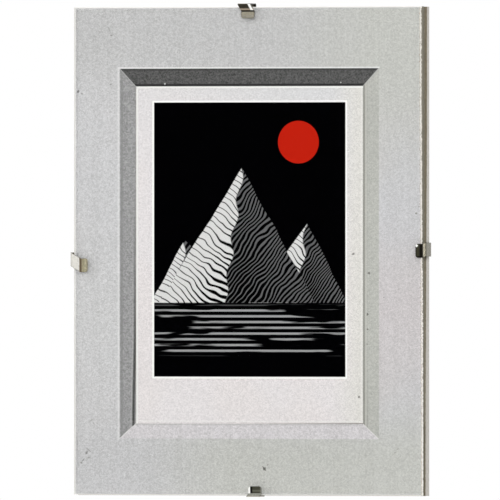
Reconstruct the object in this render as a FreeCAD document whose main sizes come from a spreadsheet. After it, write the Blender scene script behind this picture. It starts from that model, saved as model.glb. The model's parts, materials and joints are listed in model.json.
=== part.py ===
import FreeCAD, Part
import math
import os
import re
import Sketcher

# Clip frame: a glass pane, a card mat and a print held on a hardboard back by four spring clips.
# +Z is up, the front faces -Y and +X is to the right as seen from the front.
# The origin is where the hanging nail bears: the middle notch of the top hanger, at the board's back.

document = FreeCAD.newDocument("clip_frame")

# Driving dimensions, in millimetres. A name that ends in share is a part of the play it refers to.
SIZES = {
    # glass, which gives the format of the whole frame
    "glass_width": 180.0,
    "glass_height": 240.0,
    "glass_thickness": 2.0,
    "glass_arris": 0.35,
    # card mat: the borders between the glass's edges and the window cut in it
    "mat_thickness": 0.6,
    "sheet_inset": 0.3,
    "border_left": 31.4,
    "border_right": 31.4,
    "border_top": 38.9,
    "border_bottom": 35.1,
    # print
    "print_thickness": 0.25,
    # backboard, which has slipped a little against the glass
    "board_thickness": 3.2,
    "board_shift_right": 1.3,
    "board_shift_down": 0.15,
    "slot_length": 23.4,
    "slot_corner": 1.0,
    "slot_play": 0.3,
    # spring clips: lengths measured from the board's edge or from the faces of the stack
    "clip_width": 6.8,
    "clip_strip": 0.45,
    "clip_bend": 0.6,
    "clip_lip": 3.6,
    "clip_corner": 1.3,
    "clip_flare": 0.3,
    "clip_crease": 1.8,
    "clip_grip": 0.05,
    "clip_rise": 1.8,
    "clip_heel_back": 1.3,
    "clip_bow": 1.9,
    "clip_leaf_gap": 0.3,
    "clip_hook": 11.5,
    "clip_tail": 2.3,
    "clip_release": 0.2,
    # each clip's own fit: how far it is pushed in past its usual place, how far its wall stands off the
    # edge, how far its roof leans along the edge before it turns down, and where its lip sits along the slot
    "clip_top_seat": 0.1,
    "clip_right_seat": -0.4,
    "clip_bottom_seat": -0.9,
    "clip_left_seat": 0.6,
    "clip_top_gap": 1.25,
    "clip_right_gap": 0.25,
    "clip_bottom_gap": 0.25,
    "clip_left_gap": 0.85,
    "clip_top_lean": -1.6,
    "clip_right_lean": 0.6,
    "clip_bottom_lean": -1.0,
    "clip_left_lean": 3.0,
    "clip_top_share": -0.18,
    "clip_right_share": 0.04,
    "clip_bottom_share": 0.35,
    "clip_left_share": -0.98,
    # sawtooth hangers
    "hanger_length": 45.0,
    "hanger_height": 9.0,
    "hanger_strip": 0.8,
    "hanger_lift": 1.6,
    "hanger_foot": 8.0,
    "hanger_ramp": 2.5,
    "hanger_corner": 1.8,
    "hanger_drop": 17.0,
    "tooth_pitch": 2.4,
    "tooth_depth": 1.5,
    "tooth_flat": 0.4,
    # semi-tubular rivets
    "rivet_shank": 3.0,
    "rivet_play": 0.1,
    "rivet_head": 5.4,
    "rivet_head_height": 0.9,
    "rivet_roll": 0.4,
    "rivet_bore": 1.7,
    "rivet_bore_depth": 2.2,
    "rivet_flange": 5.0,
    "rivet_flange_height": 0.5,
    # how far cutting outlines run past what they cut
    "overrun": 1.0,
}

# Places that several pieces share, as formulas in the sizes above
GLASS_BACK = "board_thickness + print_thickness + mat_thickness"
STACK = "(board_thickness + print_thickness + mat_thickness + glass_thickness)"
BOARD_TOP = "(hanger_drop + hanger_height - tooth_depth)"
BOARD_MIDDLE = "(hanger_drop + hanger_height - tooth_depth - glass_height / 2)"
DEEPEST_SEAT = "max(clip_top_seat; clip_right_seat; clip_bottom_seat; clip_left_seat)"
GLASS_OVERHANG = "max(abs(board_shift_right); abs(board_shift_down))"
SLOT_FAR = "(clip_hook + " + DEEPEST_SEAT + " + clip_strip / 2 + slot_play)"
SLOT_NEAR = ("(clip_hook - clip_crease - clip_lip - " + GLASS_OVERHANG
             + " - clip_release - clip_strip / 2 - slot_play)")
SLOT_FREE = "(slot_length / 2 - clip_width / 2 - slot_corner - slot_play)"
RIVET_REACH = "(hanger_length / 2 - hanger_foot / 2)"
RIVET_DROP = "(hanger_drop + hanger_height / 2)"
TOOTH_HALF = "(hanger_length / 2 - hanger_foot - hanger_ramp - tooth_pitch / 2)"
TOOTH_COUNT = "(2 * floor(" + TOOTH_HALF + " / tooth_pitch) + 1)"

# Two points closer than this are the same point when edges are picked
SAME = 1e-4


def make_sheet():
    """Write every driving dimension into a sheet, its name beside it."""
    sheet = document.addObject("Spreadsheet::Sheet", "sizes")
    for row, (name, number) in enumerate(SIZES.items(), start=1):
        sheet.set("A%d" % row, name)
        sheet.set("B%d" % row, str(number))
        sheet.setAlias("B%d" % row, name)
    document.recompute()
    return sheet


sizes = make_sheet()


def on_sheet(formula):
    """The same formula with each size's name pointing at the sheet."""
    return re.sub(r"[a-z_]+", lambda word: "sizes." + word[0] if word[0] in SIZES else word[0], formula)


def amount(formula):
    """What a formula in the sizes comes to."""
    return float(sizes.evalExpression(on_sheet(formula)))


def bind(thing, place, formula):
    """Tie one property or constraint of a thing to a formula in the sizes."""
    thing.setExpression(place, on_sheet(formula))


def make_body(name):
    body = document.addObject("PartDesign::Body", name)
    body.Label = name
    return body


def place_body(body, x="0", y="0", z="0", turn=0):
    """Put a body in the frame, turned about the front-to-back axis by so many degrees."""
    body.Placement = FreeCAD.Placement(FreeCAD.Vector(), FreeCAD.Rotation(FreeCAD.Vector(0, 1, 0), turn))
    for axis, formula in (("x", x), ("y", y), ("z", z)):
        bind(body, "Placement.Base." + axis, formula)


def make_sketch(body, name, role, height="0"):
    """A sketch on one of the body's own origin planes, moved along its normal by a formula."""
    sketch = body.newObject("Sketcher::SketchObject", name)
    plane = next(item for item in body.Origin.OriginFeatures if item.Role == role)
    sketch.AttachmentSupport = [(plane, "")]
    sketch.MapMode = "FlatFace"
    bind(sketch, "AttachmentOffset.Base.z", height)
    return sketch


def constrain(sketch, formula, *constraint):
    """Add a dimension to a sketch and tie it to a formula."""
    index = sketch.addConstraint(Sketcher.Constraint(*constraint, amount(formula)))
    bind(sketch, "Constraints[%d]" % index, formula)


def pin_point(sketch, curve, end, corner):
    """Tie a point of a sketch to the formulas of its two coordinates."""
    across, up = corner
    constrain(sketch, across, "DistanceX", -1, 1, curve, end)
    constrain(sketch, up, "DistanceY", -1, 1, curve, end)


def draw_outline(sketch, corners):
    """Closed straight-sided outline through corners given as pairs of formulas."""
    points = [FreeCAD.Vector(amount(across), amount(up), 0) for across, up in corners]
    lines = [sketch.addGeometry(Part.LineSegment(start, end))
             for start, end in zip(points, points[1:] + points[:1])]
    for line, after, corner in zip(lines, lines[1:] + lines[:1], corners):
        sketch.addConstraint(Sketcher.Constraint("Coincident", line, 2, after, 1))
        pin_point(sketch, line, 1, corner)


def draw_box(sketch, left, right, bottom, top):
    draw_outline(sketch, [(left, bottom), (right, bottom), (right, top), (left, top)])


def draw_circle(sketch, across, up, radius):
    centre = FreeCAD.Vector(amount(across), amount(up), 0)
    circle = sketch.addGeometry(Part.Circle(centre, FreeCAD.Vector(0, 0, 1), amount(radius)))
    pin_point(sketch, circle, 3, (across, up))
    constrain(sketch, radius, "Radius", circle)


def draw_bent_path(sketch, corners, radius):
    """Open path of straight runs whose corners, given as formulas, are rounded by one bend radius."""
    points = [FreeCAD.Vector(amount(across), amount(up), 0) for across, up in corners]
    bend = amount(radius)
    runs = []
    arcs = []
    start = points[0]
    for before, corner, after in zip(points, points[1:], points[2:]):
        arriving = (corner - before).normalize()
        leaving = (after - corner).normalize()
        half_turn = arriving.getAngle(leaving) / 2
        cut = bend * math.tan(half_turn)
        inward = (leaving - arriving).normalize()
        middle = corner + inward * (bend / math.cos(half_turn) - bend)
        first = corner - arriving * cut
        last = corner + leaving * cut
        runs.append(sketch.addGeometry(Part.LineSegment(start, first)))
        arcs.append(sketch.addGeometry(Part.Arc(first, middle, last)))
        start = last
    runs.append(sketch.addGeometry(Part.LineSegment(start, points[-1])))
    for index, arc in enumerate(arcs):
        joint = sketch.getPoint(runs[index], 2)
        arriving_end, leaving_end = (1, 2) if (sketch.getPoint(arc, 1) - joint).Length < SAME else (2, 1)
        sketch.addConstraint(Sketcher.Constraint("Tangent", runs[index], 2, arc, arriving_end))
        sketch.addConstraint(Sketcher.Constraint("Tangent", arc, leaving_end, runs[index + 1], 1))
        constrain(sketch, radius, "Radius", arc)
        corner = sketch.addGeometry(Part.Point(points[index + 1]), True)
        sketch.addConstraint(Sketcher.Constraint("PointOnObject", corner, 1, runs[index]))
        sketch.addConstraint(Sketcher.Constraint("PointOnObject", corner, 1, runs[index + 1]))
        pin_point(sketch, corner, 1, corners[index + 1])
    pin_point(sketch, runs[0], 1, corners[0])
    pin_point(sketch, runs[-1], 2, corners[-1])


def add_pad(body, name, sketch, length):
    pad = body.newObject("PartDesign::Pad", name)
    pad.Profile = sketch
    bind(pad, "Length", length)
    return pad


def add_pocket(body, name, sketch, depth=None):
    """Cut a sketch into a body, right through where no depth is given, and prove that it cuts."""
    document.recompute()
    before = body.Shape.Volume
    pocket = body.newObject("PartDesign::Pocket", name)
    pocket.Profile = sketch
    if depth is None:
        pocket.Type = "ThroughAll"
    else:
        bind(pocket, "Length", depth)
    document.recompute()
    if body.Shape.Volume >= before:
        raise ValueError(name + " cuts nothing")
    return pocket


def edges_where(feature, test):
    """Names of a feature's edges that pass a test."""
    return ["Edge%d" % number for number, edge in enumerate(feature.Shape.Edges, start=1) if test(edge)]


def add_fillet(body, name, base, test, radius):
    document.recompute()
    fillet = body.newObject("PartDesign::Fillet", name)
    fillet.Base = (base, edges_where(base, test))
    bind(fillet, "Radius", radius)
    return fillet


def runs_along_y(edge):
    ends = edge.Vertexes
    return (len(ends) == 2 and abs(ends[0].X - ends[1].X) < SAME and abs(ends[0].Z - ends[1].Z) < SAME)


# Glass pane, back face on the mat, its front and back borders ground to a fine arris
def make_glass():
    body = make_body("glass_pane")
    sketch = make_sketch(body, "glass_outline", "XZ_Plane")
    draw_box(sketch, "-glass_width / 2", "glass_width / 2", "-glass_height / 2", "glass_height / 2")
    pad = add_pad(body, "glass_sheet", sketch, "glass_thickness")
    document.recompute()
    chamfer = body.newObject("PartDesign::Chamfer", "glass_ground_edges")
    chamfer.Base = (pad, edges_where(pad, lambda edge: not runs_along_y(edge)))
    bind(chamfer, "Size", "glass_arris")
    place_body(body, "-board_shift_right", "-(" + GLASS_BACK + ")", BOARD_MIDDLE + " + board_shift_down")
    return body


def draw_sheet_outline(sketch):
    """Outline of a sheet cut a little smaller than the glass, centred on it."""
    draw_box(sketch, "sheet_inset - glass_width / 2", "glass_width / 2 - sheet_inset",
             "sheet_inset - glass_height / 2", "glass_height / 2 - sheet_inset")


# Card mat with its window
def make_mat():
    body = make_body("mat_card")
    outline = make_sketch(body, "mat_outline", "XZ_Plane")
    draw_sheet_outline(outline)
    add_pad(body, "mat_sheet", outline, "mat_thickness")
    window = make_sketch(body, "window_outline", "XZ_Plane", "mat_thickness")
    draw_box(window, "border_left - glass_width / 2", "glass_width / 2 - border_right",
             "border_bottom - glass_height / 2", "glass_height / 2 - border_top")
    add_pocket(body, "mat_window", window)
    place_body(body, "-board_shift_right", "-(board_thickness + print_thickness)",
               BOARD_MIDDLE + " + board_shift_down")
    return body


# Print behind the window
def make_print():
    body = make_body("print_sheet")
    outline = make_sketch(body, "print_outline", "XZ_Plane")
    draw_sheet_outline(outline)
    add_pad(body, "print_paper", outline, "print_thickness")
    place_body(body, "-board_shift_right", "-board_thickness", BOARD_MIDDLE + " + board_shift_down")
    return body


def rivet_places():
    """Where the rivets stand, from the middle of the board: name, across and up."""
    return (("rivet_top_left", "-" + RIVET_REACH, "glass_height / 2 - " + RIVET_DROP),
            ("rivet_top_right", RIVET_REACH, "glass_height / 2 - " + RIVET_DROP),
            ("rivet_side_upper", RIVET_DROP + " - glass_width / 2", RIVET_REACH),
            ("rivet_side_lower", RIVET_DROP + " - glass_width / 2", "-" + RIVET_REACH))


# Backboard: a punched slot near the middle of each edge, and the sunk holes of the rivets
def make_board():
    body = make_body("backboard")
    outline = make_sketch(body, "board_outline", "XZ_Plane")
    draw_box(outline, "-glass_width / 2", "glass_width / 2", "-glass_height / 2", "glass_height / 2")
    add_pad(body, "board_panel", outline, "board_thickness")
    slots = make_sketch(body, "slot_outlines", "XZ_Plane", "board_thickness")
    for sign in ("", "-"):
        near_side = sign + "(glass_width / 2 - " + SLOT_NEAR + ")"
        far_side = sign + "(glass_width / 2 - " + SLOT_FAR + ")"
        draw_box(slots, near_side, far_side, "-slot_length / 2", "slot_length / 2")
        near_side = sign + "(glass_height / 2 - " + SLOT_NEAR + ")"
        far_side = sign + "(glass_height / 2 - " + SLOT_FAR + ")"
        draw_box(slots, "-slot_length / 2", "slot_length / 2", near_side, far_side)
    cut = add_pocket(body, "clip_slots", slots)
    half_width = amount("glass_width / 2")
    half_height = amount("glass_height / 2")

    def is_slot_corner(edge):
        here = edge.Vertexes[0]
        inside = abs(here.X) < half_width - SAME and abs(here.Z) < half_height - SAME
        return runs_along_y(edge) and inside

    add_fillet(body, "slot_corners", cut, is_slot_corner, "slot_corner")
    holes = make_sketch(body, "rivet_hole_circles", "XZ_Plane", "board_thickness")
    sinks = make_sketch(body, "rivet_sink_circles", "XZ_Plane", "board_thickness")
    for _, across, up in rivet_places():
        draw_circle(holes, across, up, "rivet_shank / 2 + rivet_play")
        draw_circle(sinks, across, up, "rivet_flange / 2 + rivet_play")
    add_pocket(body, "rivet_holes", holes)
    add_pocket(body, "rivet_sinks", sinks, "rivet_flange_height")
    place_body(body, z=BOARD_MIDDLE)


# Spring clip: one bent strip that runs from its tail in the slot, along the back as a bowed leaf,
# up past the edges as a wall, over the front as a roof, down to a crease on the glass and along it as
# a lip with rounded corners. It is drawn for the top edge: local +Z points out of the frame, and the
# board's edge is at zero, plus its own seat. Its wall springs to just outside whichever sheet stands
# out further, with a gap of its own, and its roof leans along the edge, so that the wall and the leaf
# stand aside.
def make_clip(name, turn, x, z, seat, overhang, gap, lean):
    body = make_body(name)
    wall = "(max(" + overhang + "; 0) + " + seat + " + clip_strip / 2 + " + gap + ")"
    spine = make_sketch(body, name + "_bends", "YZ_Plane")
    leaf_face = "(clip_leaf_gap + clip_strip / 2)"
    crease_face = "-(" + STACK + " + clip_grip + clip_strip / 2)"
    lip_tip = "-(clip_crease + clip_lip)"
    draw_bent_path(spine, [
        ("-clip_tail", "-clip_hook"),
        (leaf_face, "-clip_hook"),
        ("clip_bow", "-clip_hook / 2"),
        ("clip_heel_back", wall),
        ("-(" + STACK + " + clip_rise)", wall),
        (crease_face, "-clip_crease"),
        (crease_face + " - clip_flare", lip_tip),
    ], "clip_bend")
    section = make_sketch(body, name + "_blank", "XZ_Plane", "clip_tail")
    half_blank = "(clip_width / 2 + abs(" + lean + "))"
    draw_box(section, "-" + half_blank, half_blank,
             "-clip_hook - clip_strip / 2", "-clip_hook + clip_strip / 2")
    blank = body.newObject("PartDesign::AdditivePipe", name + "_bent_blank")
    blank.Profile = section
    blank.Spine = (spine, [])

    # the sides are cut in two steps: lip and leaning roof from the front, wall and leaf from behind
    middle = STACK + " / 2"
    front_reach = "(" + STACK + " + clip_rise + overrun)"
    front_sides = make_sketch(body, name + "_front_sides", "XZ_Plane", front_reach)
    back_sides = make_sketch(body, name + "_back_sides", "XZ_Plane", middle)
    for side in ("-", ""):
        outside = side + "(" + half_blank[1:-1] + " + overrun)"
        lip_side = side + "clip_width / 2"
        wall_side = lip_side + " + " + lean
        above = wall + " + overrun"
        draw_outline(front_sides, [(outside, lip_tip + " - overrun"), (lip_side, lip_tip + " - overrun"),
                                   (lip_side, "-clip_crease"), (wall_side, wall),
                                   (wall_side, above), (outside, above)])
        draw_box(back_sides, outside, wall_side, "-clip_hook - overrun", above)
    add_pocket(body, name + "_front_cut", front_sides, front_reach + " - " + middle)
    trimmed = add_pocket(body, name + "_back_cut", back_sides)
    lip_end = amount(lip_tip)
    strip_edge = amount("clip_strip")
    front = amount("-" + STACK)

    def is_lip_corner(edge):
        centre = edge.CenterOfMass
        at_lip = abs(centre.z - lip_end) < strip_edge and centre.y < front
        return at_lip and abs(edge.Length - strip_edge) < SAME

    add_fillet(body, name + "_lip_corners", trimmed, is_lip_corner, "clip_corner")
    place_body(body, x=x, z=z, turn=turn)


def make_clips():
    right_edge = "glass_width / 2"
    bottom_edge = "(" + BOARD_TOP + " - glass_height)"
    make_clip("clip_top", 0, SLOT_FREE + " * clip_top_share", BOARD_TOP + " - clip_top_seat",
              "clip_top_seat", "board_shift_down", "clip_top_gap", "clip_top_lean")
    make_clip("clip_right", 90, right_edge + " - clip_right_seat",
              BOARD_MIDDLE + " + " + SLOT_FREE + " * clip_right_share",
              "clip_right_seat", "-board_shift_right", "clip_right_gap", "(-clip_right_lean)")
    make_clip("clip_bottom", 180, SLOT_FREE + " * clip_bottom_share", bottom_edge + " + clip_bottom_seat",
              "clip_bottom_seat", "-board_shift_down", "clip_bottom_gap", "(-clip_bottom_lean)")
    make_clip("clip_left", -90, "clip_left_seat - " + right_edge,
              BOARD_MIDDLE + " + " + SLOT_FREE + " * clip_left_share",
              "clip_left_seat", "board_shift_right", "clip_left_gap", "clip_left_lean")


# Sawtooth hanger: a strip joggled away from the board between two feet, with notches for the nail
# along its lower edge. Drawn for the top edge, as the clips are.
def make_hanger(name, turn, x, z):
    body = make_body(name)
    profile = make_sketch(body, name + "_joggle", "XY_Plane", "-(hanger_drop + hanger_height)")
    end = "hanger_length / 2"
    ramp_foot = "(hanger_length / 2 - hanger_foot)"
    ramp_top = "(hanger_length / 2 - hanger_foot - hanger_ramp)"
    board_side = [("-" + end, "0"), ("-" + ramp_foot, "0"), ("-" + ramp_top, "hanger_lift"),
                  (ramp_top, "hanger_lift"), (ramp_foot, "0"), (end, "0")]
    wall_side = [(across, up + " + hanger_strip") for across, up in reversed(board_side)]
    draw_outline(profile, board_side + wall_side)
    strip = add_pad(body, name + "_strip", profile, "hanger_height")
    half_length = amount("hanger_length / 2")

    def is_foot_corner(edge):
        return runs_along_y(edge) and abs(abs(edge.Vertexes[0].X) - half_length) < SAME

    add_fillet(body, name + "_foot_corners", strip, is_foot_corner, "hanger_corner")
    holes = make_sketch(body, name + "_rivet_holes", "XZ_Plane")
    for across in ("-" + RIVET_REACH, RIVET_REACH):
        draw_circle(holes, across, "-" + RIVET_DROP, "rivet_shank / 2 + rivet_play")
    add_pocket(body, name + "_holes", holes)
    notch = make_sketch(body, name + "_notch_outline", "XZ_Plane")
    bottom = "-(hanger_drop + hanger_height)"
    first = "(-tooth_pitch * (" + TOOTH_COUNT + " - 1) / 2)"
    half_notch = "(tooth_pitch - tooth_flat) / 2"
    draw_outline(notch, [(first + " - " + half_notch, bottom), (first + " + " + half_notch, bottom),
                         (first, bottom + " + tooth_depth")])
    first_notch = add_pocket(body, name + "_first_notch", notch)
    teeth = body.newObject("PartDesign::LinearPattern", name + "_teeth")
    teeth.Originals = [first_notch]
    teeth.Direction = (notch, ["H_Axis"])
    teeth.Mode = "Spacing"
    bind(teeth, "Offset", "tooth_pitch")
    bind(teeth, "Occurrences", TOOTH_COUNT)
    body.Tip = teeth
    place_body(body, x=x, z=z, turn=turn)


def make_hangers():
    make_hanger("hanger_top", 0, "0", BOARD_TOP)
    make_hanger("hanger_side", -90, "-glass_width / 2", BOARD_MIDDLE)


# Semi-tubular rivet: flange sunk in the board's front, shank through board and hanger foot,
# and a rolled head on the foot with the tube's bore open in it
def make_rivet(name, across, up):
    body = make_body(name)
    profile = make_sketch(body, name + "_half_section", "XY_Plane")
    head_base = "hanger_strip"
    head_top = "(hanger_strip + rivet_head_height)"
    draw_outline(profile, [
        ("0", "-board_thickness"),
        ("rivet_flange / 2", "-board_thickness"),
        ("rivet_flange / 2", "rivet_flange_height - board_thickness"),
        ("rivet_shank / 2", "rivet_flange_height - board_thickness"),
        ("rivet_shank / 2", head_base),
        ("rivet_head / 2", head_base),
        ("rivet_head / 2", head_top + " - rivet_roll"),
        ("rivet_head / 2 - rivet_roll", head_top),
        ("rivet_bore / 2 + rivet_roll", head_top),
        ("rivet_bore / 2", head_top + " - rivet_roll"),
        ("rivet_bore / 2", head_top + " - rivet_bore_depth"),
        ("0", head_top + " - rivet_bore_depth"),
    ])
    turned = body.newObject("PartDesign::Revolution", name + "_turned")
    turned.Profile = profile
    turned.ReferenceAxis = (profile, ["V_Axis"])
    place_body(body, x=across, z=BOARD_MIDDLE + " + " + up)


def check_document():
    """Stop if any object failed or any sub-part is not one sound solid."""
    document.recompute()
    for item in document.Objects:
        if "Invalid" in item.State or "Error" in item.State:
            raise ValueError(item.Label + " failed")
    for body in document.findObjects("PartDesign::Body"):
        if body.Shape.isNull() or not body.Shape.isValid() or len(body.Shape.Solids) != 1:
            raise ValueError(body.Label + " is not one sound solid")


def write_parts():
    os.makedirs("parts", exist_ok=True)
    for body in document.findObjects("PartDesign::Body"):
        body.Shape.exportStep(os.path.join("parts", body.Label + ".step"))
        print(body.Label, "%.3f cubic mm" % body.Shape.Volume)


make_glass()
make_mat()
make_print()
make_board()
make_clips()
make_hangers()
for rivet_name, rivet_across, rivet_up in rivet_places():
    make_rivet(rivet_name, rivet_across, rivet_up)
check_document()
write_parts()
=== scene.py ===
import json
import math
from functools import reduce

import bpy
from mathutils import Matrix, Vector


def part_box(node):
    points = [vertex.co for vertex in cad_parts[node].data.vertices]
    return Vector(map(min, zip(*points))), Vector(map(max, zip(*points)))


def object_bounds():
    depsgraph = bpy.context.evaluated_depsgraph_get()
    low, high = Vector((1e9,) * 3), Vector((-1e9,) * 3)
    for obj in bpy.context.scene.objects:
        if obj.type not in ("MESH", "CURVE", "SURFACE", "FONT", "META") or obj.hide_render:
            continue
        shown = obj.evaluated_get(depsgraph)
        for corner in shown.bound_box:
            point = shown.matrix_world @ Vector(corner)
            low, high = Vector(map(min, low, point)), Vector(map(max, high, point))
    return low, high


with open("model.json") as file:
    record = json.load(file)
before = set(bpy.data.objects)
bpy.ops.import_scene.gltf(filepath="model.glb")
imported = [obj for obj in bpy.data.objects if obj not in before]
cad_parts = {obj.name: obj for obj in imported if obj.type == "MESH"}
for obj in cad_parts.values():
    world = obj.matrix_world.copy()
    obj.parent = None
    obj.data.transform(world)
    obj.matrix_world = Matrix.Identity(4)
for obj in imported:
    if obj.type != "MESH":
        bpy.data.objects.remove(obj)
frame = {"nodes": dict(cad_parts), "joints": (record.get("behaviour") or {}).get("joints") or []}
bare_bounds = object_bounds()
NODES = frame["nodes"]

# Places on the object, in metres. Row frame: +X right, +Z up, the glass faces -Y.
MM = 0.001
GLASS_LOW, GLASS_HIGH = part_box("glass_pane")
GLASS_FACE = GLASS_LOW.y
BOARD_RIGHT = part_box("backboard")[1].x
# How far each clip slides off its edge
TRAVEL = {joint["name"]: joint["range_m"][1] for joint in frame["joints"]}


def in_from_glass(left, right, bottom, top):
    """The four sides of a rectangle, each so many mm in from that edge of the glass."""
    return {"left": GLASS_LOW.x + left * MM, "right": GLASS_HIGH.x - right * MM,
            "bottom": GLASS_LOW.z + bottom * MM, "top": GLASS_HIGH.z - top * MM}


# The window cut in the mat, the outer edge of the wide bevel printed round it, and the picture's dark field
WINDOW = in_from_glass(31.4, 31.4, 35.1, 38.9)
BEVEL = in_from_glass(23.1, 23.3, 27.7, 30.2)
FIELD = in_from_glass(40.7, 40.7, 58.2, 46.9)


def srgb(red, green, blue):
    """A colour given as it looks on screen, out of 255, as the shader wants it."""
    def straight(level):
        level = level / 255
        return level / 12.92 if level <= 0.04045 else ((level + 0.055) / 1.055) ** 2.4
    return (straight(red), straight(green), straight(blue), 1.0)


BLACK = (0.0, 0.0, 0.0, 1.0)
WHITE = (1.0, 1.0, 1.0, 1.0)


def feed(socket, value):
    """Set a socket to a constant, or link something that varies to it."""
    if isinstance(value, Value):
        value = value.socket
    if isinstance(value, bpy.types.NodeSocket):
        socket.id_data.links.new(value, socket)
    else:
        socket.default_value = value


class Value:
    """A number that varies over a surface. Sums with these become math nodes."""

    def __init__(self, socket):
        self.socket = socket

    def worked(self, operation, *others):
        """What one math node makes of this number and others."""
        node = self.socket.id_data.nodes.new("ShaderNodeMath")
        node.operation = operation
        for place, number in zip(node.inputs, (self,) + others):
            feed(place, number)
        return Value(node.outputs[0])

    def __add__(self, other):
        return self.worked("ADD", other)

    def __sub__(self, other):
        return self.worked("SUBTRACT", other)

    def __mul__(self, other):
        return self.worked("MULTIPLY", other)

    def __truediv__(self, other):
        return self.worked("DIVIDE", other)

    def __rsub__(self, other):
        return self * -1.0 + other

    __radd__ = __add__

    def least(self, other):
        return self.worked("MINIMUM", other)

    def most(self, other):
        return self.worked("MAXIMUM", other)

    def size(self):
        """How far from 0 it is, either way."""
        return self.worked("ABSOLUTE")

    def wave(self, pitch):
        """Runs from 0 up to 1 and back over each pitch."""
        return (self / pitch).worked("PINGPONG", 0.5) * 2.0

    def rise(self, start, end, low=0.0, high=1.0):
        """Goes smoothly from low to high while this goes from start to end."""
        node = self.socket.id_data.nodes.new("ShaderNodeMapRange")
        node.interpolation_type = "SMOOTHSTEP"
        for place, number in zip(node.inputs, (self, start, end, low, high)):
            feed(place, number)
        return Value(node.outputs[0])

    def over(self, edge, blur):
        """1 above the edge, 0 below it."""
        return self.rise(edge - blur, edge + blur)

    def under(self, edge, blur):
        """1 below the edge, 0 above it."""
        return (self - edge).rise(-blur, blur, 1.0, 0.0)

    def near(self, place, width, blur):
        """1 on a line at a place, 0 away from it."""
        return (self - place).size().under(width / 2, blur)


class Look:
    """One procedural material, made by plain calls that add shader nodes."""

    def __init__(self, name):
        self.material = bpy.data.materials.new(name)
        self.material.use_nodes = True
        self.tree = self.material.node_tree
        self.tree.nodes.clear()
        self.output = self.node("OutputMaterial")
        self.spot = self.node("TexCoord").outputs["Object"]
        self.x, self.y, self.z = self.parts(self.spot)

    def node(self, kind):
        return self.tree.nodes.new("ShaderNode" + kind)

    def parts(self, vector):
        node = self.node("SeparateXYZ")
        feed(node.inputs[0], vector)
        return [Value(out) for out in node.outputs]

    def spot_from(self, x, y, z):
        node = self.node("CombineXYZ")
        for place, number in zip(node.inputs, (x, y, z)):
            feed(place, number)
        return node.outputs[0]

    def facing_back(self):
        """How squarely the surface faces the wall: 1 on a back, -1 on a front, 0 on an edge."""
        return self.parts(self.node("NewGeometry").outputs["True Normal"])[1]

    def noise(self, grain, detail=2.0, roughness=0.5, spot=None, bend=0.0):
        """Cloudy noise whose blobs are about one grain across."""
        node = self.node("TexNoise")
        feed(node.inputs["Vector"], spot or self.spot)
        feed(node.inputs["Scale"], 1.0 / grain)
        feed(node.inputs["Detail"], detail)
        feed(node.inputs["Roughness"], roughness)
        feed(node.inputs["Distortion"], bend)
        return Value(node.outputs["Fac"])

    def streaks(self, along, grain, length, detail=2.0):
        """Noise drawn out along one axis."""
        scale = [1.0, 1.0, 1.0]
        scale["xyz".index(along)] = grain / length
        x, y, z = (part * share for part, share in zip((self.x, self.y, self.z), scale))
        return self.noise(grain, detail, 0.6, self.spot_from(x, y, z))

    def cells(self, grain, output):
        """Scattered cells about one grain across: each one's Color, or the Distance to its middle."""
        node = self.node("TexVoronoi")
        feed(node.inputs["Vector"], self.spot)
        feed(node.inputs["Scale"], 1.0 / grain)
        return node.outputs[output]

    def sand(self, grain):
        """Random level for each small cell, from 0 to 1."""
        node = self.node("SeparateColor")
        feed(node.inputs[0], self.cells(grain, "Color"))
        return Value(node.outputs[0])

    def blend(self, share, first, second, way="MIX"):
        """Colour that goes from the first to the second as the share goes from 0 to 1."""
        node = self.node("Mix")
        node.data_type = "RGBA"
        node.blend_type = way
        feed(node.inputs[0], share)
        feed(node.inputs[6], first)
        feed(node.inputs[7], second)
        return node.outputs[2]

    def shade(self, colour, level):
        """A colour made lighter or darker by a level about 1."""
        return self.blend(1.0, colour, self.spot_from(level, level, level), "MULTIPLY")

    def bump(self, height, depth, normal=None):
        """Relief of a given depth in metres from a height that runs from 0 to 1."""
        node = self.node("Bump")
        feed(node.inputs["Strength"], 1.0)
        feed(node.inputs["Distance"], depth)
        feed(node.inputs["Height"], height)
        if normal is not None:
            feed(node.inputs["Normal"], normal)
        return node.outputs[0]

    def shader(self, kind, **settings):
        """A shader node's result. Settings are its sockets' names, with _ for a space."""
        node = self.node(kind)
        for name, value in settings.items():
            feed(node.inputs[name.replace("_", " ")], value)
        return node.outputs[0]

    def surface(self, **settings):
        return self.shader("BsdfPrincipled", **settings)

    def mixed(self, share, first, second):
        """The first shader where the share is 0, the second where it is 1."""
        node = self.node("MixShader")
        feed(node.inputs[0], share)
        feed(node.inputs[1], first)
        feed(node.inputs[2], second)
        return node.outputs[0]

    def done(self, shader):
        feed(self.output.inputs["Surface"], shader)
        return self.material


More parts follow.
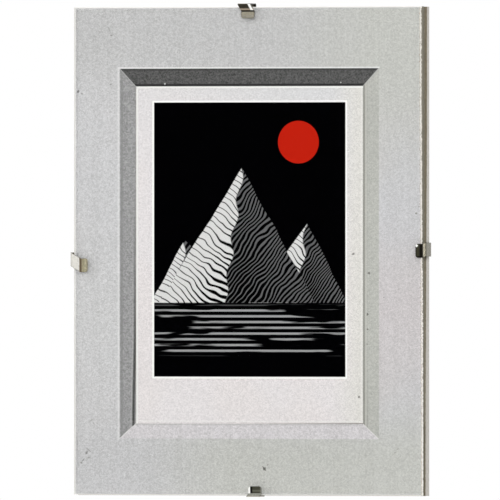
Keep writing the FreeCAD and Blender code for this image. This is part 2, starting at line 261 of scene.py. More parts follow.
# Dirt specks, short scratches and flaws in the print: across and up, half length and half width in mm,
# degrees that its length leans above level, tone
MAT_SPECKS = [
    (6.5, -202.4, 1.60, 0.85, -50, srgb(56, 52, 46)),
    (8.2, -200.4, 0.60, 0.35, 30, srgb(110, 108, 102)),
    (-85.4, -194.8, 1.30, 0.60, 60, srgb(122, 122, 120)),
    (-84.2, -193.4, 1.50, 0.30, -35, srgb(140, 140, 138)),
    (-86.8, -198.0, 1.20, 0.40, 50, srgb(128, 128, 126)),
    (-88.2, -199.6, 0.60, 0.50, 0, srgb(134, 134, 132)),
    (-84.4, -197.2, 1.00, 0.25, 10, srgb(150, 150, 148)),
    (-82.7, -178.5, 1.40, 0.30, 40, srgb(158, 158, 156)),
    (-81.6, -180.2, 0.80, 0.25, -50, srgb(160, 160, 158)),
    (-84.6, -173.8, 0.50, 0.40, 0, srgb(152, 152, 150)),
    (-89.6, -16.8, 1.00, 0.70, 30, srgb(96, 96, 94)),
    (-87.6, -17.8, 0.80, 0.35, -20, srgb(140, 140, 138)),
    (-72.6, 10.8, 0.90, 0.45, 20, srgb(132, 132, 130)),
    (-73.6, 13.6, 1.80, 0.30, -65, srgb(158, 158, 156)),
    (-72.8, -13.2, 0.70, 0.35, 10, srgb(146, 146, 144)),
    (-74.8, -3.4, 0.45, 0.40, 0, srgb(150, 150, 148)),
    (84.6, -76.8, 0.60, 0.50, 0, srgb(124, 122, 114)),
    (86.0, -73.6, 0.60, 0.35, 45, srgb(136, 134, 128)),
    (59.6, -126.4, 0.90, 0.70, 70, srgb(84, 84, 78)),
    (75.0, -192.6, 0.80, 0.35, 35, srgb(150, 150, 144)),
    (73.6, -194.4, 1.00, 0.25, 30, srgb(158, 158, 152)),
    (60.3, -106.2, 0.70, 0.60, 0, srgb(92, 92, 86)),
    (59.4, -133.8, 0.60, 0.50, 0, srgb(104, 104, 98)),
    (59.3, -141.0, 0.60, 0.45, 0, srgb(112, 112, 106)),
    (-44.8, -13.0, 0.50, 0.50, 0, srgb(236, 236, 234)),
    (45.8, -12.6, 0.45, 0.45, 0, srgb(222, 222, 220)),
]
SHEET_SPECKS = [
    (55.0, -166.9, 0.90, 0.60, -40, srgb(98, 94, 88)),
    (52.1, -96.7, 0.80, 0.60, 20, srgb(100, 98, 92)),
    (56.4, -60.2, 0.40, 0.30, 0, srgb(160, 158, 152)),
]
SPECK_BLUR = 0.2 * MM


def specked(look, colour, specks, ragged):
    """A colour with specks from a table laid over it."""
    for across, up, length, width, lean, tone in specks:
        lean = math.radians(lean)
        beside = look.x - across * MM
        above = look.z - up * MM
        along = beside * math.cos(lean) + above * math.sin(lean)
        aside = above * math.cos(lean) - beside * math.sin(lean)
        away = along.size() * (width / length) + aside.size() + ragged
        colour = look.blend(away.under(width * MM, SPECK_BLUR) * 0.8, colour, tone)
    return colour


def mat_field(look, grain, coarse):
    """The card's flat grey, whose tint drifts a little from place to place."""
    x, y, z = look.x, look.y, look.z
    warm = look.noise(60 * MM, 1.0)
    cool = look.noise(45 * MM, 1.0, spot=look.spot_from(x + 300 * MM, y, z))
    tone = look.blend(warm.rise(0.38, 0.62), srgb(202, 202, 205), srgb(202, 200, 201))
    tone = look.blend(x.under(-45 * MM, 30 * MM) * 0.7, tone, srgb(205, 205, 207))
    ends = z.over(-10 * MM, 16 * MM).most(z.under(-184 * MM, 16 * MM))
    end_tone = look.blend(z.over(-100 * MM, 50 * MM), srgb(199, 199, 201), srgb(195, 195, 196))
    tone = look.blend(ends, tone, end_tone)
    middle = z.near(-125 * MM, 50 * MM, 30 * MM)
    tone = look.blend(middle * x.under(-30 * MM, 30 * MM) * 0.8, tone, srgb(206, 206, 207))
    tone = look.blend(middle * x.over(30 * MM, 30 * MM) * 0.9, tone, srgb(205, 200, 202))
    green = z.under(-180 * MM, 20 * MM) * x.over(-35 * MM, 30 * MM)
    green = green.most(z.over(-40 * MM, 40 * MM) * x.over(35 * MM, 35 * MM))
    tone = look.blend(green * cool.rise(0.25, 0.5, 0.7, 1.0), tone, srgb(196, 197, 193))
    unevenness = grain * 0.30 + coarse * 0.30 - 0.30
    return look.shade(tone, unevenness * x.rise(-60 * MM, 60 * MM, 1.0, 0.8) + 1.0)


def bevel_tones(look, grain, coarse, share, depth):
    """Tones of the printed bevel's four sides, with the lines along them at shares of its width."""
    z = look.z
    speckle = grain * 0.5 + coarse * 0.6 + 0.45

    top = look.shade(srgb(84, 84, 84), speckle * 1.8 - 0.8)
    edge_lines = depth.near(0.06, 0.10, 0.03) * 0.55 + depth.near(0.93, 0.11, 0.03) * 0.95
    top = look.blend(edge_lines, top, srgb(34, 34, 35))

    left = look.shade(srgb(156, 156, 157), speckle)
    left = look.blend(z.rise(-190 * MM, -30 * MM), look.shade(left, 0.97), left)
    left = look.blend(share["left"].near(0.13, 0.14, 0.05) * 0.6, left, srgb(134, 134, 135))

    right = look.shade(srgb(187, 188, 183), grain * 0.25 + coarse * 0.3 + 0.725)
    right = look.blend(share["right"].near(0.96, 0.16, 0.05) * 0.85, right, srgb(140, 140, 134))
    right = look.blend(share["right"].near(0.83, 0.08, 0.04) * 0.7, right, srgb(200, 200, 194))
    low_part = z.under(-165 * MM, 20 * MM)
    faint_line = share["right"].near(0.73, 0.09, 0.04) * (low_part * 0.4 + 0.15)
    right = look.blend(faint_line, right, srgb(154, 154, 148))
    both_ends = low_part.most(z.over(-60 * MM, 30 * MM) * 0.6)
    right = look.blend(both_ends, right, look.shade(right, 0.955))

    bottom = look.shade(srgb(211, 208, 211), grain * 0.30 + coarse * 0.34 + 0.68)
    broken_line = share["bottom"].near(0.95, 0.10, 0.05) * (coarse.rise(0.35, 0.6) * 0.4 + 0.1)
    bottom = look.blend(broken_line, bottom, srgb(158, 157, 154))
    return top, left, right, bottom


def share_in(look, side):
    """How far in a spot is: 0 on the bevel's outer edge on that side, 1 on the cut of the window."""
    place = look.x if side in ("left", "right") else look.z
    return (place - BEVEL[side]) / (WINDOW[side] - BEVEL[side])


def with_bevel(look, field, grain, coarse):
    """The card's grey with the printed bevel laid over it."""
    share = {side: share_in(look, side) for side in BEVEL}
    least_side = share["left"].least(share["right"])
    least_level = share["top"].least(share["bottom"])
    depth = least_side.least(least_level)
    sharp = 0.012
    is_side = (least_level - least_side).over(0.0, sharp)
    is_left = (share["right"] - share["left"]).over(0.0, sharp)
    is_top = (share["bottom"] - share["top"]).over(0.0, sharp)
    top, left, right, bottom = bevel_tones(look, grain, coarse, share, depth)

    # on the left the bevel stops short of the cut, more so downward: a pale line and then a dark one
    shortfall = look.z.rise(-180 * MM, -130 * MM, 0.16, 0.06)
    low_part = look.z.under(-105 * MM, 50 * MM)
    pale_line = (share["left"] - 0.88 + shortfall).near(0.0, 0.07, 0.03) * low_part * 0.4
    left = look.blend(pale_line, left, srgb(190, 190, 190))
    tone = look.blend(is_side, look.blend(is_top, bottom, top), look.blend(is_left, right, left))

    # mitre lines at the four corners
    mitre = (least_level - least_side).near(0.0, 0.05, 0.03)
    mitre_tone = look.blend(is_top, srgb(236, 236, 234), srgb(190, 190, 188))
    tone = look.blend(mitre * 0.85, tone, mitre_tone)

    dark_line = (share["left"] - 1.02 + shortfall).near(0.0, 0.15, 0.05) * is_side * is_left * low_part
    tone = look.blend(dark_line * (coarse.rise(0.3, 0.5) * 0.3 + 0.65), tone, srgb(58, 58, 56))

    # the bevel on the grey, and a pale halo along its outer edge at the top and on the left
    card = look.blend(depth.over(0.0, 0.015), field, tone)
    halo = depth.near(-0.04, 0.07, 0.03) * is_top * (1.0 - is_side)
    halo = halo + depth.near(-0.07, 0.12, 0.06) * is_side * is_left * 0.45
    return look.blend(halo * 0.9, card, srgb(240, 240, 240))


def mat_look():
    """Grey printed card: fine grain, a printed bevel round the window, specks and rubbed spots."""
    look = Look("mat_card_look")
    grain = look.sand(0.55 * MM)
    coarse = look.noise(1.3 * MM, 2.0, 0.6)
    card = with_bevel(look, mat_field(look, grain, coarse), grain, coarse)

    # specks and rubbed spots
    dots = Value(look.cells(9 * MM, "Distance"))
    speck = dots.under(0.035, 0.015) * look.noise(12 * MM).over(0.56, 0.04)
    card = look.blend(speck * 0.6, card, srgb(105, 104, 98))
    card = specked(look, card, MAT_SPECKS, (coarse - 0.5) * 1.2 * MM)
    rubbed = look.noise(1.1 * MM, 4.0, 0.8, bend=1.5).over(0.70, 0.03)
    rubbed = rubbed * look.noise(26 * MM, 1.0).over(0.60, 0.05)
    card = look.blend(rubbed * 0.45, card, srgb(150, 150, 146))

    # cut edges and the back show the bare core of the card
    is_front = look.facing_back().under(-0.5, 0.1)
    core = look.shade(srgb(176, 174, 168), grain * 0.3 + 0.85)
    relief = look.bump(grain, 0.012 * MM, look.bump(coarse, 0.02 * MM))
    return look.done(look.surface(Base_Color=look.blend(is_front, core, card), Roughness=grain * 0.2 + 0.62,
                                  Specular_IOR_Level=0.25, Normal=relief))


def paper_tone(look, fleck):
    """The sheet's white margin, with painted highlight lines and a painted shadow line just inside the cut
    of the window.
    """
    x, z = look.x, look.z
    cloud = look.noise(40 * MM, 1.0)
    paper = look.blend(cloud.rise(0.38, 0.64), srgb(234, 230, 232), srgb(234, 229, 230))
    toward_top_right = (x * 0.6 + z + 50 * MM).rise(-50 * MM, 60 * MM)
    paper = look.blend(toward_top_right, paper, srgb(223, 223, 225))
    paper = look.blend(x.over(48 * MM, 10 * MM), paper, srgb(229, 227, 223))
    paper = look.shade(paper, fleck * 0.21 + 0.895)
    paper = specked(look, paper, SHEET_SPECKS, (fleck - 0.5) * 0.3 * MM)
    # a painted highlight on the left and along the top, and a fainter painted highlight on the right and
    # along the bottom
    from_cut = (x - WINDOW["left"]).least(WINDOW["top"] - z)
    painted_highlight_line = from_cut.near(0.5 * MM, 1.0 * MM, 0.25 * MM)
    paper = look.blend(painted_highlight_line * 0.95, paper, srgb(255, 255, 254))
    above_cut = z - WINDOW["bottom"]
    pale_line = (WINDOW["right"] - x).near(1.1 * MM, 0.6 * MM, 0.25 * MM)
    pale_line = pale_line.most(above_cut.near(1.2 * MM, 0.6 * MM, 0.3 * MM))
    paper = look.blend(pale_line * 0.5, paper, srgb(250, 249, 248))
    # along the bottom, toward the right where the mat stands off the paper, a painted shadow line
    dark_line = above_cut.under(0.35 * MM, 0.15 * MM) * x.rise(-20 * MM, 75 * MM)
    return look.blend(dark_line, paper, srgb(110, 104, 97))


# The picture, in shares of the dark field's width and height. Peaks: place across, height, how steep
# each flank is, and pitch of the hatching
HORIZON = 0.27
PEAKS = [(0.80, 0.56, 0.95, 1.35, 0.022), (0.16, 0.50, 1.3, 0.85, 0.022), (0.46, 0.76, 1.12, 1.28, 0.026)]
DISC_ACROSS, DISC_UP = 0.755, 0.855
DISC_RADIUS = 10.5 * MM
PRINT_EDGE = 0.12 * MM
KEYLINE = 0.95 * MM


def picture(look, fleck, grain):
    """Hatched peaks over still water, and a plain red disc, on black."""
    width = FIELD["right"] - FIELD["left"]
    height = FIELD["top"] - FIELD["bottom"]
    across = (look.x - FIELD["left"]) / width
    up = (look.z - FIELD["bottom"]) / height
    wobble = look.noise(18 * MM, 2.0) - 0.5
    ink = look.shade(srgb(2, 2, 3), fleck * 0.6 + 0.7)

    art = ink
    for place, top, left_slope, right_slope, pitch in PEAKS:
        ridge = place + (up - top) * 0.18 + (up * 46.0).worked("SINE") * 0.011 + wobble * 0.03
        left_flank = (across - place) * left_slope + top - up
        right_flank = (place - across) * right_slope + top - up
        drop = left_flank.least(right_flank) + wobble * 0.035
        fade = drop.rise(0.0, top - HORIZON, 0.15, 0.62)
        stroke = ((across - place) * 0.55 + up + wobble * 0.10).wave(pitch)
        bright = look.blend((stroke - fade).over(0.0, 0.14), ink, srgb(226, 226, 226))
        stroke = (up - (across - place) * 0.9 + wobble * 0.12).wave(pitch * 0.86)
        dim = look.blend((stroke - (fade * 0.5 + 0.45)).over(0.0, 0.16), ink, srgb(104, 104, 106))
        flanks = look.blend((ridge - across).over(0.0, 0.004), dim, bright)
        art = look.blend(drop.over(0.0, 0.003) * up.over(HORIZON, 0.002), art, flanks)

    # still water below the peaks: broken level strokes that thin out to the sides
    broken = look.noise(9 * MM, 2.0, spot=look.spot_from(look.x * 0.35, look.y, look.z * 3.0))
    broken = (broken - (across - 0.5).size() * 0.35).over(0.40, 0.05)
    water = up.wave(0.021).over(0.62, 0.12) * broken * up.near(0.17, 0.17, 0.012)
    art = look.blend(water * 0.8, art, srgb(180, 181, 183))

    beside_disc = (across - DISC_ACROSS) * width
    above_disc = (up - DISC_UP) * height
    radius = (beside_disc * beside_disc + above_disc * above_disc).worked("SQRT")
    red = look.shade(srgb(197, 34, 18), grain * 0.16 + 0.92)
    return look.blend(radius.under(DISC_RADIUS, PRINT_EDGE), art, red)


def in_field(look, reach):
    """1 in the dark field and within reach of it, 0 farther out."""
    x, z = look.x, look.z
    return (x.over(FIELD["left"] - reach, PRINT_EDGE) * x.under(FIELD["right"] + reach, PRINT_EDGE)
            * z.over(FIELD["bottom"] - reach, PRINT_EDGE) * z.under(FIELD["top"] + reach, PRINT_EDGE))


def print_look():
    """White paper, and on it a dark field with a picture and a white keyline round it."""
    look = Look("print_sheet_look")
    grain = look.noise(0.5 * MM, 3.0, 0.7)
    fleck = look.sand(0.55 * MM)
    colour = look.blend(in_field(look, KEYLINE), paper_tone(look, fleck), srgb(255, 255, 254))
    colour = look.blend(in_field(look, 0.0), colour, picture(look, fleck, grain))
    return look.done(look.surface(Base_Color=colour, Roughness=grain * 0.12 + 0.62,
                                  Specular_IOR_Level=0.0, Normal=look.bump(grain, 0.006 * MM)))


def polished_face(look, clear):
    """The pane's faces: clear, with the faint mirror of glass under a thin film."""
    film = look.noise(35 * MM, 3.0, 0.6)
    smears = look.streaks("x", 3 * MM, 40 * MM)
    # a face mirrors four parts in a hundred straight on, and more toward a grazing view
    grazing = look.node("LayerWeight")
    feed(grazing.inputs["Blend"], 0.5)
    mirror = Value(grazing.outputs["Facing"]).worked("POWER", 5.0) * 0.9 + 0.04
    # the back face lies on the card, so only the front one shows what it mirrors, dimmed by its film
    is_back = look.y.over((GLASS_LOW.y + GLASS_HIGH.y) / 2, 0.1 * MM)
    dimmed = look.shade((0.55, 0.55, 0.55, 1.0), film * 0.3 + 0.85)
    gloss = look.shader("BsdfAnisotropic", Color=look.blend(is_back, dimmed, BLACK),
                        Roughness=film * 0.05 + smears * 0.03 + 0.01)
    return look.mixed(mirror, clear, gloss)


def with_border(look, face, chips, ground, olive):
    """The pane's face with the milky light that its edges scatter along the border."""
    from_side = (look.x - GLASS_LOW.x).least(GLASS_HIGH.x - look.x)
    from_level = (look.z - GLASS_LOW.z).least(GLASS_HIGH.z - look.z)
    ragged = (chips - 0.5) * 0.8 * MM
    glow = (from_side.least(from_level) + ragged).under(1.0 * MM, 0.6 * MM)
    left_side = (look.x - GLASS_LOW.x).under(1.5 * MM, 0.5 * MM)
    # beside the ground band on the right lie a painted ivory highlight and a rusty line
    painted_ivory_highlight = ground.near(0.30 * MM, 0.75 * MM, 0.12 * MM)
    rust = ground.near(0.85 * MM, 0.25 * MM, 0.12 * MM)
    is_ground = ground.under(0.0, 0.10 * MM)
    tone = look.blend(painted_ivory_highlight, srgb(228, 228, 227), srgb(240, 236, 227))
    tone = look.blend(rust, tone, srgb(196, 172, 148))
    milk = look.shader("BsdfDiffuse", Color=look.blend(is_ground, tone, olive))
    share = glow * (left_side * 0.20 + 0.40)
    share = share.most(painted_ivory_highlight * 0.75).most(is_ground * 0.92).most(rust * 0.55)
    return look.mixed(share, face, milk)


def glass_look():
    """Clear float glass with a faint film on its faces, frosted arrises and olive edges."""
    look = Look("glass_pane_look")
    clear = look.shader("BsdfTransparent", Color=(0.992, 0.992, 0.988, 1.0))
    chips = look.noise(1.4 * MM, 3.0, 0.7)
    fine = look.noise(0.4 * MM, 3.0, 0.7)
    olive = look.shade(srgb(120, 116, 102), fine * 0.5 + chips * 0.3 + 0.6)
    # distance in from a band on the right that is ground ragged, and that widens toward the top
    nicks = (look.noise(0.8 * MM, 2.0, 0.6) - 0.5) * 1.4 * MM
    ground = GLASS_HIGH.x - look.x + nicks - look.z.rise(-210 * MM, 20 * MM, 0.0, 0.85 * MM)

    face = with_border(look, polished_face(look, clear), chips, ground, olive)
    frost_tone = look.shade(srgb(246, 244, 238), chips * 0.2 + 0.9)
    frost_tone = look.blend(ground.under(0.0, 0.10 * MM), frost_tone, olive)
    frost = look.surface(Base_Color=frost_tone, Roughness=0.55)
    edge = look.surface(Base_Color=olive, Roughness=chips * 0.3 + 0.2, Normal=look.bump(fine, 0.02 * MM))
    squarely = look.facing_back().size()
    shown = look.mixed(squarely.over(0.35, 0.05), edge, frost)
    shown = look.mixed(squarely.over(0.9, 0.03), shown, face)
    # lamp light passes the whole pane, so the sheets behind stay evenly lit
    path = look.node("LightPath").outputs
    passing = Value(path["Is Shadow Ray"]).most(Value(path["Is Diffuse Ray"]))
    return look.done(look.mixed(passing * 0.9, shown, clear))


def board_look():
    """Hardboard: smooth dark front, brown back pressed on a screen, pale sawn edges."""
    look = Look("backboard_look")
    x, y, z = look.x, look.y, look.z
    fibres = look.noise(1.6 * MM, 5.0, 0.75, bend=1.0)
    cloud = look.noise(30 * MM, 3.0, 0.6)
    fine = look.noise(0.35 * MM, 3.0, 0.7)
    # pressed screen on the back: two sets of fine crossed ridges
    pitch = 1.25 * MM
    ridge = x.wave(pitch).most(z.wave(pitch))
    back = look.blend(fibres.rise(0.32, 0.68), srgb(112, 82, 54), srgb(154, 118, 82))
    back = look.shade(back, cloud * 0.35 + 0.82)
    back = look.shade(back, ridge * 0.22 + 0.84)
    torn = look.noise(0.9 * MM, 4.0, 0.8, look.spot_from(x, y * 0.4, z))
    edge = look.blend(torn.rise(0.36, 0.66), srgb(190, 186, 178), srgb(216, 213, 207))
    # the saw has left the front's right border worn and pale, more so toward the bottom
    front = look.blend(fibres.rise(0.3, 0.7), srgb(104, 96, 80), srgb(126, 117, 99))
    front = look.shade(front, cloud * 0.2 + 0.9)
    worn_width = z.rise(-200 * MM, 0.0, 0.95 * MM, 0.15 * MM)
    worn = (BOARD_RIGHT - x + (torn - 0.5) * 0.8 * MM).under(worn_width, 0.12 * MM)
    front = look.blend(worn * 0.9, front, srgb(190, 186, 180))
    facing = look.facing_back()
    is_back = facing.over(0.5, 0.1)
    is_front = facing.under(-0.5, 0.1)
    colour = look.blend(is_back, look.blend(is_front, edge, front), back)
    relief = look.bump(ridge * is_back, 0.10 * MM, look.bump(fibres + fine * 0.4, 0.05 * MM))
    return look.done(look.surface(Base_Color=colour, Roughness=fibres * 0.25 + 0.62,
                                  Specular_IOR_Level=0.3, Normal=relief))


def steel_look(name, tint, dark, streak_axis, wear, marks=None):
    """Plated spring steel: drawn streaks, fine scratches, darker stains and rubbed patches."""
    look = Look(name)
    lines = look.streaks(streak_axis, 0.12 * MM, 6 * MM, 3.0)
    stain = look.noise(2.6 * MM, 4.0, 0.65, bend=0.8)
    scratches = look.noise(0.5 * MM, 5.0, 0.8, bend=3.0).near(0.5, 0.03, 0.02)
    colour = look.blend(stain.rise(0.44, 0.72) * wear, tint, dark)
    colour = look.shade(colour, lines * 0.22 + 0.88)
    colour = look.blend(scratches * 0.25, colour, srgb(228, 224, 214))
    metallic = 1.0
    roughness = lines * 0.10 + stain.rise(0.4, 0.8) * 0.16 + 0.08
    if marks:
        # on the clips, marks paint reflections, highlights and shade, and there the metal gives way to the
        # painted colour
        colour, film = marks(look, colour, stain)
        metallic = 1.0 - film
        roughness = roughness + film * 0.2
    relief = look.bump(lines, 0.003 * MM, look.bump(stain, 0.003 * MM))
    return look.done(look.surface(Base_Color=colour, Metallic=metallic, Roughness=roughness, Normal=relief,
                                  Specular_IOR_Level=0.05))


NICKEL = srgb(206, 200, 184)
TARNISH = srgb(122, 112, 84)
CLIP_HALF_WIDTH = 3.4 * MM
# Where each clip lies: the axis that points outward and its sign; then, in mm, its crease and its wall
# on that axis, the middle of its lip along the edge, and how far its wall leans aside from there
CLIP_PLACES = {
    "top": ("z", 1.0, 22.6, 26.125, -1.26, -1.6),
    "right": ("x", 1.0, 88.6, 90.475, -95.22, 0.6),
    "bottom": ("z", -1.0, -214.6, -215.975, 2.45, -1.0),
    "left": ("x", -1.0, -87.6, -92.375, -102.36, 3.0),
}
# The tint of each clip's zones, partly the metal's own and partly reflections and shade painted on: the
# tint of every zone, how far a dull painted coat hides the metal, and how uneven the tint is
CLIP_ZONES = {
    "top": {"lip": (srgb(200, 195, 180), 0.0, 1.0), "roof": (srgb(30, 26, 12), 1.0, 1.0),
            "wall": (srgb(196, 190, 176), 0.0, 1.0)},
    "right": {"lip": (srgb(18, 15, 8), 1.0, 1.0), "roof": (srgb(208, 201, 182), 0.0, 0.7),
              "wall": (srgb(112, 108, 95), 0.3, 1.0)},
    "bottom": {"lip": (srgb(50, 51, 40), 1.0, 1.0), "roof": (srgb(146, 147, 138), 0.5, 1.0),
               "wall": (srgb(176, 174, 164), 0.0, 1.0)},
    "left": {"lip": (srgb(196, 189, 162), 0.0, 1.0), "roof": (srgb(204, 202, 196), 0.7, 0.25),
             "wall": (srgb(190, 186, 176), 0.0, 1.0)},
}
# Stripes of painted highlight, reflection and shade on each: zone, the way across the stripe, where it
# starts and ends in mm, its blur, tint and share
CLIP_STRIPES = {
    "top": [("roof", "outward", 0.3, 1.3, 0.25, srgb(166, 152, 134), 0.85),
            ("roof", "along", 1.75, 3.1, 0.15, srgb(252, 252, 248), 0.95),
            ("wall", "along", 1.9, 5.0, 0.20, srgb(20, 17, 12), 0.95),
            ("lip", "outward", -5.0, -2.3, 0.9, srgb(104, 101, 90), 0.75)],
    "right": [("lip", "outward", -2.9, -1.9, 0.3, srgb(62, 61, 44), 0.7),
              ("lip", "along", -4.0, -2.7, 0.2, srgb(4, 3, 1), 0.9),
              ("lip", "outward", -1.4, 0.0, 0.2, srgb(8, 5, 1), 0.9)],
    "bottom": [("lip", "outward", -1.9, -0.95, 0.25, srgb(100, 101, 88), 0.8),
               ("lip", "along", 2.9, 4.8, 0.5, srgb(146, 147, 140), 0.85),
               ("lip", "along", -2.5, -1.3, 0.15, srgb(4, 5, 2), 0.95),
               ("lip", "along", -4.0, -2.45, 0.08, srgb(255, 255, 253), 1.0)],
    "left": [("lip", "outward", -2.8, -2.0, 0.3, srgb(170, 165, 138), 0.5),
             ("lip", "outward", -3.8, -3.1, 0.2, srgb(132, 128, 110), 0.6)],
}
# Small bright glints: place along the clip and outward from its crease, and reach, in mm
CLIP_GLINTS = {"right": [(2.5, -3.0, 0.8)]}
# Painted shade and reflection along each crease: tint and width in mm
CLIP_CREASES = {"top": (srgb(12, 7, 2), 0.85), "right": (srgb(24, 18, 10), 0.4),
                "bottom": (srgb(146, 147, 138), 0.5), "left": (srgb(98, 86, 68), 1.15)}


def clip_parts(look, side, ragged):
    """How far outward and along a clip a spot is, whether it lies in front of the glass, and its zones."""
    axis, sign, crease, wall, middle, lean = CLIP_PLACES[side]
    outward = (getattr(look, axis) - crease * MM) * sign
    reach = (wall - crease) * sign * MM
    leaning = (outward / reach).most(0.0).least(1.0) * (lean * MM)
    along = (look.x if axis == "z" else look.z) - middle * MM - leaning
    front = look.y.under(GLASS_FACE + 0.15 * MM, 0.1 * MM)
    lip = (outward + ragged * 0.3).under(-0.1 * MM, 0.1 * MM) * front
    bend = outward.over(reach - 0.3 * MM, 0.1 * MM) * look.y.over(GLASS_FACE - 1.4 * MM, 0.1 * MM)
    upright = look.y.over(GLASS_FACE + 0.45 * MM, 0.1 * MM).most(bend)
    zones = {"lip": lip, "wall": upright, "roof": (1.0 - lip) * (1.0 - upright)}
    return outward, along, front, zones


def clip_look(side):
    """One clip's steel: reflections, highlights and shade painted on by zone, in stripes, as glints, along
    its long edges and in its crease.
    """
    def marks(look, colour, stain):
        ragged = (stain - 0.5) * 0.5 * MM
        outward, along, front, zones = clip_parts(look, side, ragged)
        mottle = stain * 0.3 + look.noise(0.7 * MM, 3.0, 0.7) * 0.4 - 0.35
        # each share is where painted reflection, highlight or shade hides the metal
        painted_shares = []
        for zone, (tint, film, uneven) in CLIP_ZONES[side].items():
            colour = look.blend(zones[zone] * 0.96, colour, look.shade(tint, mottle * uneven + 1.0))
            painted_shares.append(zones[zone] * film)
        # painted shade along the strip's long edges in front of the glass
        painted_edge_shade = along.size().over(CLIP_HALF_WIDTH - 0.25 * MM, 0.08 * MM) * front
        colour = look.blend(painted_edge_shade * 0.5, colour, srgb(70, 64, 52))
        for zone, way, start, end, blur, tint, share in CLIP_STRIPES[side]:
            place = (along if way == "along" else outward) + ragged * 0.4
            stripe = place.over(start * MM, blur * MM) * place.under(end * MM, blur * MM)
            painted_shares.append(stripe * zones[zone] * share)
            colour = look.blend(painted_shares[-1], colour, tint)
        for glint_along, glint_outward, reach in CLIP_GLINTS.get(side, []):
            away = (along - glint_along * MM).size() + (outward - glint_outward * MM).size()
            painted_shares.append(away.under(reach * MM, 0.15 * MM))
            colour = look.blend(painted_shares[-1], colour, srgb(254, 254, 250))
        tint, width = CLIP_CREASES[side]
        painted_shares.append((outward + ragged * 0.4).near(0.05 * MM, width * MM, 0.15 * MM) * front)
        return look.blend(painted_shares[-1], colour, tint), reduce(Value.most, painted_shares)

    streak_axis = "x" if side in ("left", "right") else "z"
    return steel_look("clip_steel_" + side, NICKEL, TARNISH, streak_axis, 0.7, marks)


def zinc_look():
    """Zinc-plated strip: faint spangle, dulled patches, scuffed high spots."""
    look = Look("hanger_look")
    spangle = look.sand(1.7 * MM)
    stain = look.noise(5 * MM, 4.0, 0.6)
    lines = look.streaks("x", 0.15 * MM, 5 * MM, 3.0)
    colour = look.blend(stain.rise(0.45, 0.75), srgb(196, 198, 200), srgb(158, 158, 156))
    colour = look.shade(colour, spangle * 0.12 + lines * 0.12 + 0.88)
    roughness = spangle * 0.10 + stain * 0.18 + lines * 0.10 + 0.16
    relief = look.bump(lines, 0.006 * MM, look.bump(stain, 0.02 * MM))
    return look.done(look.surface(Base_Color=colour, Metallic=1.0, Roughness=roughness, Normal=relief))


def dress(name, material, rounding=0.0):
    """Give a carried-over node its material and, where sheet metal was cut, a fine rounded edge."""
    node = NODES[name]
    node.data.materials.clear()
    node.data.materials.append(material)
    if rounding:
        soften = node.modifiers.new("soft_edges", "BEVEL")
        soften.width = rounding
        soften.segments = 2
        soften.limit_method = "ANGLE"
        soften.angle_limit = math.radians(35)
        soften.use_clamp_overlap = True
        soften.harden_normals = True


dress("glass_pane", glass_look())
dress("mat_card", mat_look())
dress("print_sheet", print_look())
dress("backboard", board_look())
for clip_side in CLIP_PLACES:
    dress("clip_" + clip_side, clip_look(clip_side), 0.05 * MM)
hanger = zinc_look()
for hanger_name in ("hanger_top", "hanger_side"):
    dress(hanger_name, hanger, 0.06 * MM)
rivet = steel_look("rivet_look", srgb(214, 208, 194), srgb(150, 142, 120), "y", 0.5)
for rivet_name in ("rivet_top_left", "rivet_top_right", "rivet_side_upper", "rivet_side_lower"):
    dress(rivet_name, rivet)


# Studio: a pale floor that melts into a white surround, soft lamps, and a card that only metal and
# glass see
FLOOR_RADIUS = 1.6
FLOOR_CORNERS = 64
# room under the frame for the bottom clip, which slides this far down when it is prised off
FLOOR_LEVEL = bare_bounds[0].z - TRAVEL["bottom_clip_slide"] - 0.1 * MM


def flat_sheet(name, corners):
    mesh = bpy.data.meshes.new(name)
    mesh.from_pydata(corners, [], [tuple(range(len(corners)))])
    sheet = bpy.data.objects.new(name, mesh)
    bpy.context.scene.collection.objects.link(sheet)
    return sheet


def seen_by(tree):
    """Two numbers: 1 for rays from the camera, and 1 for rays that metal or glass sends on."""
    path = tree.nodes.new("ShaderNodeLightPath").outputs
    mirrored = Value(path["Is Glossy Ray"]).most(Value(path["Is Transmission Ray"]))
    return Value(path["Is Camera Ray"]), mirrored


def floor_look():
    """Pale round the frame, whiter farther out, and plain white in metal and glass."""
    look = Look("floor_look")
    pale = look.shade(srgb(240, 240, 239), look.noise(4 * MM, 3.0) * 0.03 + 0.985)
    pale = look.surface(Base_Color=pale, Roughness=0.9)
    white = look.shader("Emission", Color=WHITE, Strength=1.0)
    reach = (look.x * look.x + look.y * look.y).worked("SQRT")
    direct, mirrored = seen_by(look.tree)
    shown = (reach.rise(-0.25, 0.30) * direct).most(mirrored)
    return look.done(look.mixed(shown, pale, white))


turns = [math.tau * step / FLOOR_CORNERS for step in range(FLOOR_CORNERS)]
floor = flat_sheet("floor", [(FLOOR_RADIUS * math.cos(turn), FLOOR_RADIUS * math.sin(turn), FLOOR_LEVEL)
                             for turn in turns])
floor.data.materials.append(floor_look())


def air(tree, strength):
    """White light from all round."""
    node = tree.nodes.new("ShaderNodeBackground")
    feed(node.inputs["Color"], WHITE)
    feed(node.inputs["Strength"], strength)
    return node.outputs[0]


# The surround is plain white where it is seen, and lights the frame more softly
SOFT_STRENGTH = 0.58
world = bpy.data.worlds.new("studio")
bpy.context.scene.world = world
world.use_nodes = True
sky = world.node_tree
sky.nodes.clear()
seen_directly, seen_mirrored = seen_by(sky)
surround = sky.nodes.new("ShaderNodeMixShader")
feed(surround.inputs[0], seen_directly.most(seen_mirrored))
feed(surround.inputs[1], air(sky, SOFT_STRENGTH))
feed(surround.inputs[2], air(sky, 1.0))
feed(sky.nodes.new("ShaderNodeOutputWorld").inputs["Surface"], surround.outputs[0])


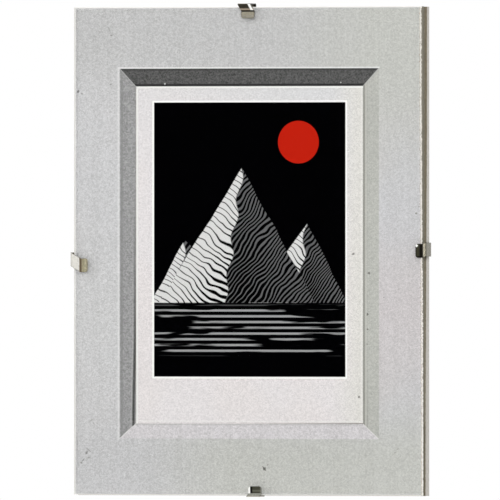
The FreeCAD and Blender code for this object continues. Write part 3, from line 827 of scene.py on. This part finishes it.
def lamp(name, place, width, power):
    """A round soft lamp that shines on the middle of the frame. Metres and watts."""
    light = bpy.data.lights.new(name, "AREA")
    light.shape = "DISK"
    light.size = width
    light.energy = power
    centre = (bare_bounds[0] + bare_bounds[1]) / 2
    holder = bpy.data.objects.new(name, light)
    holder.location = place
    holder.rotation_mode = "QUATERNION"
    holder.rotation_quaternion = (Vector(place) - centre).to_track_quat("Z", "Y")
    bpy.context.scene.collection.objects.link(holder)


lamp("key_lamp", place=(0.6, -3.1, 0.9), width=1.6, power=41)
lamp("fill_lamp", place=(-2.8, -2.2, 0.8), width=2.2, power=18.5)
lamp("back_lamp", place=(0.9, 3.0, 1.8), width=2.0, power=44)

# Card before the frame, seen only in reflections: black where the pane mirrors it, with paler fields
# above and on both sides for the clips
CARD_Y = -4.2
CARD_LEFT, CARD_RIGHT = -6.0, 2.6
CARD_BOTTOM, CARD_TOP = -2.6, 3.0


def card_look():
    look = Look("card_look")
    pale_field = look.z.rise(0.25, 0.75).most(look.x.rise(-2.15, -1.75, 1.0, 0.0))
    pale_field = pale_field.most(look.x.rise(0.3, 0.9))
    tone = look.blend(pale_field, srgb(10, 10, 10), srgb(205, 203, 196))
    return look.done(look.shader("Emission", Color=tone, Strength=look.noise(0.9, 1.0) * 0.3 + 0.85))


card = flat_sheet("reflection_card", [(CARD_LEFT, CARD_Y, CARD_BOTTOM), (CARD_RIGHT, CARD_Y, CARD_BOTTOM),
                                      (CARD_RIGHT, CARD_Y, CARD_TOP), (CARD_LEFT, CARD_Y, CARD_TOP)])
card.visible_camera = False
card.visible_diffuse = False
card.visible_shadow = False
card.visible_transmission = False
card.data.materials.append(card_look())

# Camera: a long lens, a little round to the right
CAMERA_TURN = math.radians(17.5)
CAMERA_DISTANCE = 11.0
LENS_MM = 1611.0
SENSOR_MM = 36.0
AIM = Vector((-1.24 * MM, -3.0 * MM, -94.83 * MM))
camera = bpy.data.objects.new("camera", bpy.data.cameras.new("camera"))
bpy.context.scene.collection.objects.link(camera)
camera.data.sensor_width = SENSOR_MM
camera.data.lens = LENS_MM
camera.data.clip_start = 0.1
camera.data.clip_end = 100.0
away = Vector((math.sin(CAMERA_TURN), -math.cos(CAMERA_TURN), 0.0))
camera.location = AIM + away * CAMERA_DISTANCE
camera.rotation_mode = "QUATERNION"
camera.rotation_quaternion = away.to_track_quat("Z", "Y")
bpy.context.scene.camera = camera
bpy.context.scene.view_settings.view_transform = "Standard"
